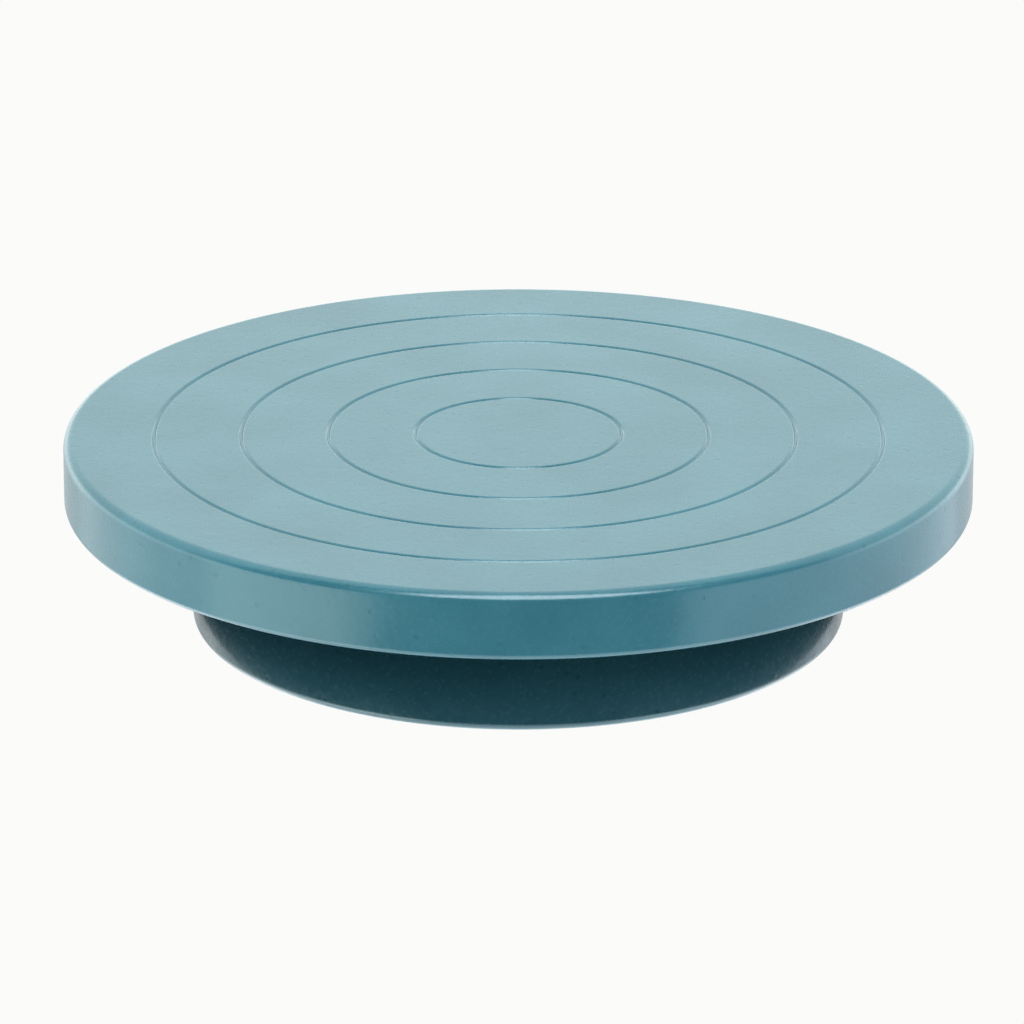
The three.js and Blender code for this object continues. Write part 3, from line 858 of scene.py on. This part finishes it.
def plate_screws():
    """Three button-head screws that hold the retaining plate."""
    node = PLATE_SCREW_NODES[0]
    low, high, seat = bottom_of(node), top_of(node), bottom_of("retaining_plate")
    head, shank, edge, crown_share = head_radius(node), 1.95 * MM, 0.4 * MM, 0.62
    crown = head * crown_share
    dome = [(crown + (head - crown) * math.sin(a), seat - (seat - low) * math.cos(a))
            for a in (math.radians(x) for x in range(0, 81, 10))]
    outline = [(0, low), *dome, (head, seat - 0.3 * MM), (head, seat), (shank, seat), (shank, high - edge),
               (shank - edge, high), (0, high)]
    socket_radius, socket_depth = 1.44 * MM, 1.3 * MM
    screw_ring("plate_screws", PLATE_SCREW_NODES, outline, socket_radius, socket_depth, "base")


def flange_screws():
    """Four countersunk screws that hold the spindle's flange to the head."""
    node = FLANGE_SCREW_NODES[0]
    low, high = bottom_of(node), top_of(node)
    head, shank, edge, cone = 4.6 * MM, 2.45 * MM, 0.5 * MM, 2.15 * MM
    outline = [(0, low), (head - 0.2 * MM, low), (head, low + 0.15 * MM), (shank, low + cone),
               (shank, high - edge), (shank - edge, high), (0, high)]
    socket_radius, socket_depth = 1.73 * MM, 1.8 * MM
    screw_ring("flange_screws", FLANGE_SCREW_NODES, outline, socket_radius, socket_depth, "wheel")


def retaining_plate():
    """The blanked plate that keeps the bearing in its seat."""
    zinc = material_from(bright_zinc)
    bottom, top = bottom_of("retaining_plate"), top_of("retaining_plate")
    bore, edge, clearance_hole = 17.8 * MM, 0.25 * MM, 2.2 * MM
    ring = rounded_ring(bore, outer_radius("retaining_plate"), bottom, top, edge)
    piece = turn("plate", ring, PLATE_FACETS, zinc)
    hole = turn("holes", cylinder(clearance_hole, bottom - MM, top + MM), HOLE_FACETS, zinc)
    combine(piece, ring_at(PLATE_SCREW_NODES, hole, zinc), "DIFFERENCE")
    stand_for(piece, "base", "zinc_plated_steel", "retaining_plate")


# ------------------------------------------------------------------ the spindle and its retainers

def turned_spindle():
    """The spindle: flange and spigot above, journal, circlip groove and a centre hole below."""
    low, high = bottom_of("spindle"), top_of("spindle")
    flange = outer_radius("spindle")
    flange_low = bottom_of(FLANGE_SCREW_NODES[0])
    journal, shoulder, groove = 8.45 * MM, 11.5 * MM, 8.1 * MM
    bearing_high = top_of("bearing_inner_ring")
    clip_low, clip_high = 11.9 * MM, bottom_of("spindle_washer")
    bevel, chamfer = 0.3 * MM, 0.8 * MM
    drill_depth, drill_radius, cone_depth, cone_radius = 3 * MM, 1 * MM, 1.6 * MM, 2 * MM
    outline = [
        (0, low + drill_depth), (drill_radius, low + cone_depth), (cone_radius, low),
        (journal - chamfer, low),
        (journal, low + chamfer), (journal, clip_low), (groove, clip_low), (groove, clip_high),
        (journal, clip_high), (journal, bearing_high), (shoulder - bevel, bearing_high),
        (shoulder, bearing_high + bevel), *arc(shoulder + MM, flange_low - MM, MM, 180, 90, 5),
        *arc(flange - bevel, flange_low + bevel, bevel, -90, 0, 4),
        *arc(flange - bevel, flange_top() - bevel, bevel, 0, 90, 4),
        (SPIGOT_RADIUS, flange_top()), (SPIGOT_RADIUS, high - bevel), (SPIGOT_RADIUS - bevel, high),
        (0, high),
    ]
    steel = material_from(turned_steel)
    piece = turn("turned_spindle", outline, RING_FACETS, steel)
    wide, narrow, cone = 4.8 * MM, 2.75 * MM, 2.15 * MM
    sink = [(0, flange_low - MM), (wide, flange_low - MM), (wide, flange_low),
            (narrow, flange_low + cone), (narrow, flange_top() + MM), (0, flange_top() + MM)]
    one = turn("sinks", sink, SMALL_FACETS, steel)
    combine(piece, ring_at(FLANGE_SCREW_NODES, one, steel), "DIFFERENCE")
    stand_for(piece, "wheel", "machined_steel", "spindle")


def washer():
    """The washer under the bearing's inner ring."""
    bottom, top = bottom_of("spindle_washer"), top_of("spindle_washer")
    bore, edge = 8.65 * MM, 0.15 * MM
    ring = rounded_ring(bore, outer_radius("spindle_washer"), bottom, top, edge)
    piece = turn("washer", ring, CLIP_FACETS, material_from(bright_zinc))
    stand_for(piece, "wheel", "zinc_plated_steel", "spindle_washer")


def circlip():
    """The external circlip: a C with a holed lug at each side of its mouth."""
    spring = material_from(phosphated_spring_steel)
    low, high = bottom_of("spindle_circlip"), top_of("spindle_circlip")
    inner, outer, edge = 8.15 * MM, 10.4 * MM, 0.12 * MM
    lug, orbit, hole, half = 1.7 * MM, 10.6 * MM, 0.9 * MM, math.radians(25)
    piece = turn("circlip", rounded_ring(inner, outer, low, high, edge), CLIP_FACETS, spring)
    reach = outer + MM
    wedge = bpy.data.meshes.new("wedge")
    corners = [(0, 0), (reach, -reach * math.tan(half)), (reach, reach * math.tan(half))]
    heights = (low - MM, high + MM)
    wedge.from_pydata([(x, y, z) for z in heights for x, y in corners], [],
                      [(2, 1, 0), (3, 4, 5), (0, 1, 4, 3), (1, 2, 5, 4), (2, 0, 3, 5)])
    combine(piece, add_object("mouth", wedge), "DIFFERENCE")
    for side in (1, -1):
        angle = side * (half + lug / orbit)
        ear = turn("lug", rounded_disc(lug, low, high, edge), POCKET_FACETS, spring)
        combine(piece, moved(ear, orbit, angle), "UNION")
        bore = turn("bore", cylinder(hole, low - MM, high + MM), HOLE_FACETS, spring)
        combine(piece, moved(bore, orbit, angle), "DIFFERENCE")
    stand_for(piece, "wheel", "spring_steel", "spindle_circlip")


# ------------------------------------------------------------------ the bearing

BALL_ORBIT = 14.25 * MM
BALL_RADIUS = 3.375 * MM
RACE_RADIUS = 3.5 * MM
RACE_STEPS = 16
OUTER_GAP = 0.15 * MM
INNER_GAP = 0.1 * MM
POCKET_GAP = 0.15 * MM
SEAL_SPACING = 0.25 * MM


def race_half_angle(land_to_centre):
    """Half the angle of a race's arc, in degrees, from how far its edge is from the arc's centre."""
    return math.degrees(math.acos(land_to_centre / RACE_RADIUS))


def outer_race():
    """The bearing's outer ring, ground all over, with a step at each side for a seal."""
    low, high = bottom_of("bearing_outer_ring"), top_of("bearing_outer_ring")
    seat, corner = outer_radius("bearing_outer_ring"), 0.6 * MM
    land, recess, depth = 16.25 * MM, 17.4 * MM, 1.2 * MM
    middle = (low + high) / 2
    centre = BALL_ORBIT + BALL_RADIUS + OUTER_GAP - RACE_RADIUS
    half = race_half_angle(land - centre)
    outline = [
        (recess, low), *arc(seat - corner, low + corner, corner, -90, 0, 5),
        *arc(seat - corner, high - corner, corner, 0, 90, 5), (recess, high), (recess, high - depth),
        (land, high - depth), *arc(centre, middle, RACE_RADIUS, half, -half, RACE_STEPS),
        (land, low + depth), (recess, low + depth), (recess, low),
    ]
    piece = turn("outer_race", outline, RING_FACETS, material_from(ground_bearing_steel))
    stand_for(piece, "base", "bearing_steel", "bearing_outer_ring")


def inner_race():
    """The bearing's inner ring, which turns with the spindle."""
    low, high = bottom_of("bearing_inner_ring"), top_of("bearing_inner_ring")
    bore, land, corner = 8.5 * MM, 12.25 * MM, 0.4 * MM
    middle = (low + high) / 2
    centre = BALL_ORBIT - BALL_RADIUS - INNER_GAP + RACE_RADIUS
    half = race_half_angle(centre - land)
    outline = [
        *arc(bore + corner, low + corner, corner, 180, 270, 4), (land, low),
        *arc(centre, middle, RACE_RADIUS, 180 + half, 180 - half, RACE_STEPS), (land, high),
        *arc(bore + corner, high - corner, corner, 90, 180, 4),
    ]
    steel = material_from(ground_bearing_steel)
    piece = turn("inner_race", outline + outline[:1], RING_FACETS, steel)
    stand_for(piece, "wheel", "bearing_steel", "bearing_inner_ring")


def balls():
    """Eight polished balls, each on its own body because each rolls by itself."""
    steel = material_from(ground_bearing_steel)
    for i in range(1, BALL_COUNT + 1):
        node = f"bearing_ball_{i}"
        distance, angle = place_round_axis(node)
        outline = sphere(BALL_RADIUS, centre_of(node).z, 24)
        piece = moved(turn(f"ball_{i}", outline, SMALL_FACETS, steel), distance, angle)
        stand_for(piece, f"ball_{i}", "bearing_steel", node)


def cage():
    """The moulded crown cage: a ring with a pocket for each ball."""
    nylon = material_from(filled_nylon)
    low, high = bottom_of("bearing_cage"), top_of("bearing_cage")
    inner, outer, edge = 12.7 * MM, 15.8 * MM, 0.2 * MM
    piece = turn("cage", rounded_ring(inner, outer, low, high, edge), RING_FACETS, nylon)
    pocket = sphere(BALL_RADIUS + POCKET_GAP, centre_of("bearing_ball_1").z, 20)
    one = moved(turn("pockets", pocket, POCKET_FACETS, nylon), BALL_ORBIT, 0.0)
    pockets = ring_of(one, BALL_COUNT, nylon)
    combine(piece, pockets, "DIFFERENCE")
    stand_for(piece, "cage", "cage_nylon", "bearing_cage")


def seals():
    """The two pressed rubber seals, each with a moulded step and a thin lip."""
    rubber = material_from(moulded_rubber)
    for name, outwards in (("upper", 1), ("lower", -1)):
        node = f"bearing_seal_{name}"
        low, high = bottom_of(node), top_of(node)
        inner, outer, edge, step = 12.6 * MM, 17.3 * MM, 0.2 * MM, 0.35 * MM
        ring = rounded_ring(inner, outer, low, high, edge)
        face = high if outwards > 0 else low
        stepped = [(radius, height - outwards * seal_step((radius - inner) / (outer - inner), step))
                   if abs(height - face) <= MERGE_DISTANCE else (radius, height)
                   for radius, height in ring_detail(ring)]
        piece = turn(f"{name}_seal", stepped, RING_FACETS, rubber)
        stand_for(piece, "base", "black_rubber", node)


def ring_detail(ring):
    """The ring's outline with points added along its two flats."""
    detailed = []
    for start, end in zip(ring, ring[1:]):
        detailed += [start, *straight(start, end, SEAL_SPACING)]
    return detailed + ring[-1:]


def seal_step(share, step):
    """How deep a seal's outward flat lies at a share of the way across it: a step with sloped sides."""
    start, end, steepness = 0.3, 0.85, 8
    rise = max(0.0, min(1.0, steepness * (share - start)))
    fall = max(0.0, min(1.0, steepness * (end - share)))
    return step * (rise * fall)


# ------------------------------------------------------------------ the studio

# the camera's small turns off its line to the head's middle, in radians
CAMERA_TILT = -0.0102
CAMERA_PAN = 0.00082
CAMERA_ROLL = 0.00128
SENSOR_WIDTH = 36
NEAREST_SEEN = 0.01
FLOOR_RADIUS = 30
STUDIO_SIDES = 64
FLOOR_DROP = 0.05 * MM
# a black card round the base, hidden from the camera: painted shade in place of the head's shadow on a
# table
SHADE_CARD_RADIUS = 100 * MM
SHADE_CARD_BOTTOM = -8 * MM
SHADE_CARD_TOP = 28 * MM

# Each panel's middle, half its width and height, and the blur of its edge, in degrees. The azimuth
# is counted from the camera towards the right, and the elevation from the horizon.
Panel = namedtuple("Panel", "setting azimuth elevation half_width half_height blur colour")
PANELS = (
    Panel("back_light", 180, 40, 95, 50, 14, "#F6FFF9"),
    Panel("side_light", 180, -20, 136, 30, 4, "#FAFDFF"),
    Panel("side_light", -93, -20, 52, 30, 7, "#FAFFF8"),
    Panel("side_light", 93, -20, 52, 30, 4, "#F6FAFF"),
    Panel("left_light", -60, -20, 24, 32, 5, "#FFFFEC"),
    Panel("top_light", 5, 66, 38, 28, 7, "#FFFFFF"),
    Panel("table_light", 0, -90, 180, 55, 8, "#FFFFFF"),
)


def studio_piece(name, rings, faces, material):
    """A studio object of circles about the turning axis, each of a radius and a height."""
    mesh = bpy.data.meshes.new(name)
    angles = [FULL_TURN * i / STUDIO_SIDES for i in range(STUDIO_SIDES)]
    corners = [(radius * math.cos(angle), radius * math.sin(angle), height)
               for radius, height in rings for angle in angles]
    mesh.from_pydata(corners, [], faces)
    mesh.materials.append(material)
    piece = add_object(name, mesh)
    return piece


def studio_floor():
    """A pale, evenly lit floor that runs out to the horizon and shows no shadow.

    Only the camera sees it. What the enamel mirrors is the studio's own light.
    """
    material, tree, _ = new_material("studio_floor")
    glow = add_node(tree, "ShaderNodeEmission", linear(settings().studio.floor))
    add_node(tree, "ShaderNodeOutputMaterial", glow)
    floor = studio_piece("floor", [(FLOOR_RADIUS, -FLOOR_DROP)], [tuple(range(STUDIO_SIDES))], material)
    floor.visible_diffuse = floor.visible_glossy = floor.visible_shadow = False


def studio_shade_card():
    """A strip of black card stood round the base, which the camera doesn't see.

    It is painted shade: a dark sheet that stands in for the head's shadow on a table. It keeps the
    panels' light off the wall of the base and darkens what that wall mirrors.
    """
    material, tree, _ = new_material("studio_shade_card")
    card = add_node(tree, "ShaderNodeBsdfDiffuse", linear(settings().studio.flag))
    add_node(tree, "ShaderNodeOutputMaterial", card)
    faces = [(i, (i + 1) % STUDIO_SIDES, STUDIO_SIDES + (i + 1) % STUDIO_SIDES, STUDIO_SIDES + i)
             for i in range(STUDIO_SIDES)]
    rings = [(SHADE_CARD_RADIUS, SHADE_CARD_BOTTOM), (SHADE_CARD_RADIUS, SHADE_CARD_TOP)]
    flag = studio_piece("flag", rings, faces, material)
    flag.visible_camera = False


def studio_light():
    """Soft panels of light round the wheel, each with a blurred edge, in a dim room."""
    studio = settings().studio
    world = bpy.data.worlds.new("studio")
    world.use_nodes = True
    bpy.context.scene.world = world
    tree = world.node_tree
    tree.nodes.clear()
    way = add_node(tree, "ShaderNodeTexCoord").outputs["Generated"]
    axes = add_node(tree, "ShaderNodeSeparateXYZ", way)
    to_camera = add_node(tree, "ShaderNodeMath", axes.outputs["Y"], -1, operation="MULTIPLY")
    azimuth = add_node(tree, "ShaderNodeMath", axes.outputs["X"], to_camera, operation="ARCTAN2")
    elevation = add_node(tree, "ShaderNodeMath", axes.outputs["Z"], operation="ARCSINE")
    light = toned(linear("#FFFFFF"), studio.room_light)
    for panel in PANELS:
        sideways = add_node(tree, "ShaderNodeMath", azimuth, math.radians(panel.azimuth),
                            operation="SUBTRACT")
        wrapped = add_node(tree, "ShaderNodeMath", sideways, math.pi, -math.pi, operation="WRAP")
        upwards = add_node(tree, "ShaderNodeMath", elevation, math.radians(panel.elevation),
                           operation="SUBTRACT")
        covers = []
        for offset, half in ((wrapped, panel.half_width), (upwards, panel.half_height)):
            distance = add_node(tree, "ShaderNodeMath", offset, operation="ABSOLUTE")
            covers.append(add_node(tree, "ShaderNodeMapRange", distance,
                                   math.radians(half + panel.blur), math.radians(half - panel.blur),
                                   interpolation_type="SMOOTHSTEP"))
        amount = add_node(tree, "ShaderNodeMath", *covers, operation="MULTIPLY")
        colour = toned(linear(panel.colour), getattr(studio, panel.setting))
        light = add_node(tree, "ShaderNodeMix", amount, light, colour, data_type="RGBA", blend_type="ADD")
    seen = add_node(tree, "ShaderNodeLightPath").outputs["Is Camera Ray"]
    shown = add_node(tree, "ShaderNodeMix", seen, light, linear(studio.floor), data_type="RGBA")
    add_node(tree, "ShaderNodeOutputWorld", add_node(tree, "ShaderNodeBackground", shown))


def camera():
    """A long lens that looks down on the middle of the head."""
    studio = settings().studio
    lens = bpy.data.cameras.new("camera")
    lens.sensor_width, lens.lens = SENSOR_WIDTH, studio.camera_lens
    lens.clip_start, lens.clip_end = NEAREST_SEEN, 4 * FLOOR_RADIUS
    viewer = add_object("camera", lens)
    bpy.context.scene.camera = viewer
    elevation = studio.camera_elevation
    out = Vector((0, -math.cos(elevation), math.sin(elevation)))
    viewer.location = Vector((0, 0, top_of("wheel_head"))) + out * studio.camera_distance
    aim = Quaternion((1, 0, 0), math.pi / 2 - elevation) @ Quaternion((0, 1, 0), CAMERA_PAN)
    aim = aim @ Quaternion((1, 0, 0), CAMERA_TILT) @ Quaternion((0, 0, 1), CAMERA_ROLL)
    viewer.rotation_euler = aim.to_euler()


# ------------------------------------------------------------------ operators

class BuildOperator:
    """What every building step shares: it runs its makers in order."""

    bl_options = {"REGISTER", "UNDO"}
    makers = ()

    def execute(self, context):
        for maker in self.makers:
            maker()
        return {"FINISHED"}


class BuildHead(BuildOperator, bpy.types.Operator):
    """Make the enamelled turning head"""

    bl_idname = "banding_wheel.head"
    bl_label = "Turning head"
    makers = (cast_head,)


class BuildBase(BuildOperator, bpy.types.Operator):
    """Make the enamelled base"""

    bl_idname = "banding_wheel.base"
    bl_label = "Base"
    makers = (cast_base,)


class BuildFeet(BuildOperator, bpy.types.Operator):
    """Make the rubber feet"""

    bl_idname = "banding_wheel.feet"
    bl_label = "Rubber feet"
    makers = (rubber_feet,)


class BuildSpindle(BuildOperator, bpy.types.Operator):
    """Make the spindle, its screws, washer and circlip"""

    bl_idname = "banding_wheel.spindle"
    bl_label = "Spindle"
    makers = (turned_spindle, flange_screws, washer, circlip)


class BuildRetainer(BuildOperator, bpy.types.Operator):
    """Make the retaining plate and its screws"""

    bl_idname = "banding_wheel.retainer"
    bl_label = "Retaining plate"
    makers = (retaining_plate, plate_screws)


class BuildBearing(BuildOperator, bpy.types.Operator):
    """Make the bearing's rings, balls, cage and seals"""

    bl_idname = "banding_wheel.bearing"
    bl_label = "Bearing"
    makers = (outer_race, inner_race, balls, cage, seals)


class BuildStage(BuildOperator, bpy.types.Operator):
    """Make the camera, the floor, the card of painted shade and the light"""

    bl_idname = "banding_wheel.stage"
    bl_label = "Studio"
    makers = (camera, studio_floor, studio_shade_card, studio_light)


STEPS = (BuildStage, BuildHead, BuildBase, BuildFeet, BuildSpindle, BuildRetainer, BuildBearing)


class BandingWheelPanel(bpy.types.Panel):
    """The banding wheel's settings and building steps"""

    bl_idname = "VIEW3D_PT_banding_wheel"
    bl_label = "Banding Wheel"
    bl_space_type = "VIEW_3D"
    bl_region_type = "UI"
    bl_category = "Banding Wheel"

    def draw(self, context):
        layout = self.layout
        for step in STEPS:
            layout.operator(step.bl_idname)
        for group in ("head", "base", "colours", "studio"):
            box = layout.box()
            values = getattr(context.scene.banding_wheel, group)
            for name in values.__annotations__:
                box.prop(values, name)


CLASSES = (HeadSizes, BaseSizes, FinishColours, StudioSettings, BandingWheelSettings, *STEPS,
           BandingWheelPanel)


def register():
    for cls in CLASSES:
        bpy.utils.register_class(cls)
    bpy.types.Scene.banding_wheel = bpy.props.PointerProperty(type=BandingWheelSettings)


def unregister():
    del bpy.types.Scene.banding_wheel
    for cls in reversed(CLASSES):
        bpy.utils.unregister_class(cls)


def main():
    register()
    bpy.context.scene.view_settings.view_transform = "Standard"
    for step in STEPS:
        family, name = step.bl_idname.split(".")
        getattr(getattr(bpy.ops, family), name)()


if __name__ == "__main__":
    main()
